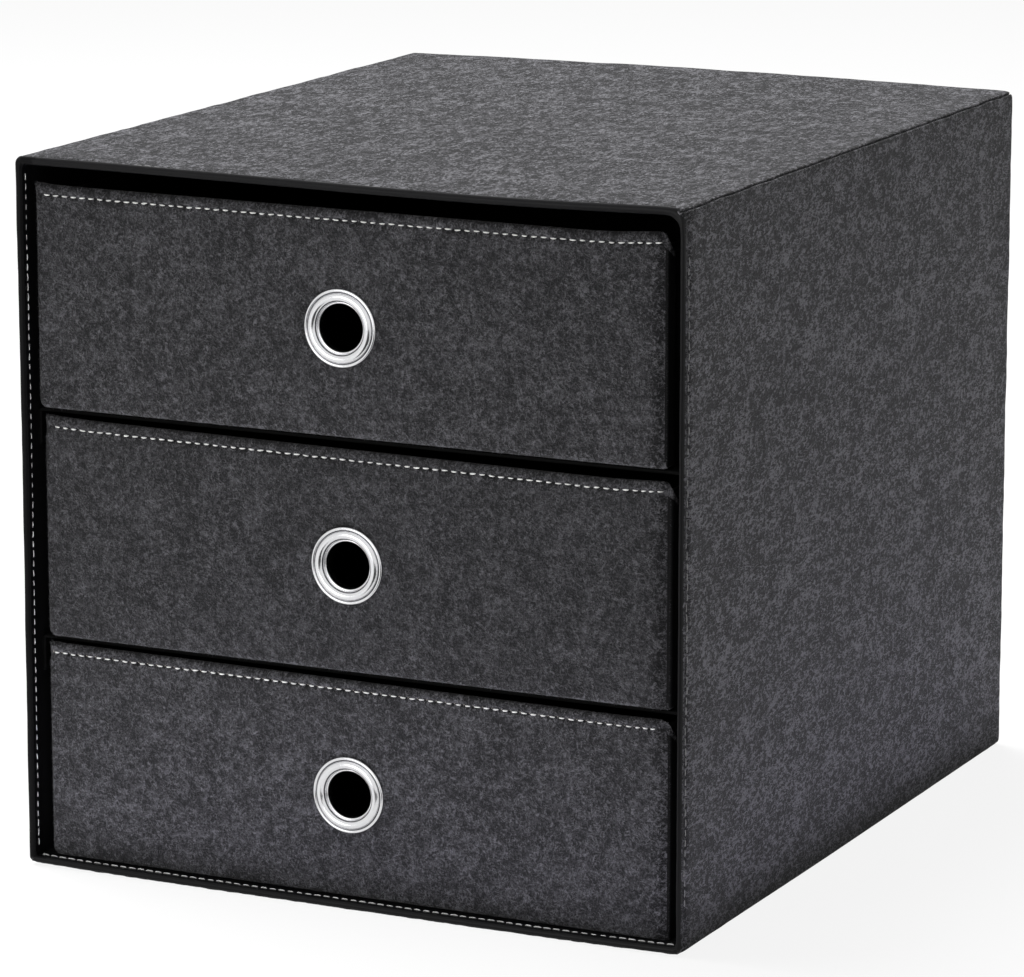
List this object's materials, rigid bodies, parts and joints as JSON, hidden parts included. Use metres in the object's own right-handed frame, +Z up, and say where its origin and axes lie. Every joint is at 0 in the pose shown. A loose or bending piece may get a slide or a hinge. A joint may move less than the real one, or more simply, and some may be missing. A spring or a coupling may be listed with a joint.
{
  "type": "mini chest of drawers",
  "caption": "Small desktop chest, felt over stiff paperboard, with open-topped drawers that slide out by round metal finger eyelets and keep papers and desk supplies.",
  "frame": {"origin": "middle of the underside", "axes": "+Z up, drawers open towards -Y, +X to the right seen from the front"},
  "size_m": [0.26, 0.31, 0.26],
  "materials": {
    "board": "solid grey board, uncoated",
    "black_board": "board covered with black paper",
    "felt": "charcoal marl felt",
    "cloth": "thin black cloth",
    "chrome": "polished",
    "thread": "off-white thread"
  },
  "bodies": {
    "cabinet": {"bottom_board": "board", "top_board": "board", "left_board": "board", "right_board": "board", "back_board": "board", "bottom_felt": "felt", "top_felt": "felt", "left_felt": "felt", "right_felt": "felt", "back_felt": "felt", "cabinet_lining": "cloth", "lower_shelf": "black_board", "upper_shelf": "black_board", "rim_thread_inside": "thread", "rim_thread_outside": "thread"},
    "upper_drawer": {"upper_front_board": "board", "upper_bottom_board": "board", "upper_left_board": "board", "upper_right_board": "board", "upper_back_board": "board", "upper_felt_front": "felt", "upper_cover": "cloth", "upper_lining": "cloth", "upper_eyelet": "chrome", "upper_washer": "chrome", "upper_top_thread": "thread"},
    "middle_drawer": {"middle_front_board": "board", "middle_bottom_board": "board", "middle_left_board": "board", "middle_right_board": "board", "middle_back_board": "board", "middle_felt_front": "felt", "middle_cover": "cloth", "middle_lining": "cloth", "middle_eyelet": "chrome", "middle_washer": "chrome", "middle_top_thread": "thread"},
    "lower_drawer": {"lower_front_board": "board", "lower_bottom_board": "board", "lower_left_board": "board", "lower_right_board": "board", "lower_back_board": "board", "lower_felt_front": "felt", "lower_cover": "cloth", "lower_lining": "cloth", "lower_eyelet": "chrome", "lower_washer": "chrome", "lower_top_thread": "thread"}
  },
  "joints": [
    {"name": "upper_drawer_slide", "type": "slide", "parent": "cabinet", "child": "upper_drawer", "axis": [0, -1, 0], "range_m": [0, 0.24]},
    {"name": "middle_drawer_slide", "type": "slide", "parent": "cabinet", "child": "middle_drawer", "axis": [0, -1, 0], "range_m": [0, 0.24]},
    {"name": "lower_drawer_slide", "type": "slide", "parent": "cabinet", "child": "lower_drawer", "axis": [0, -1, 0], "range_m": [0, 0.24]}
  ]
}
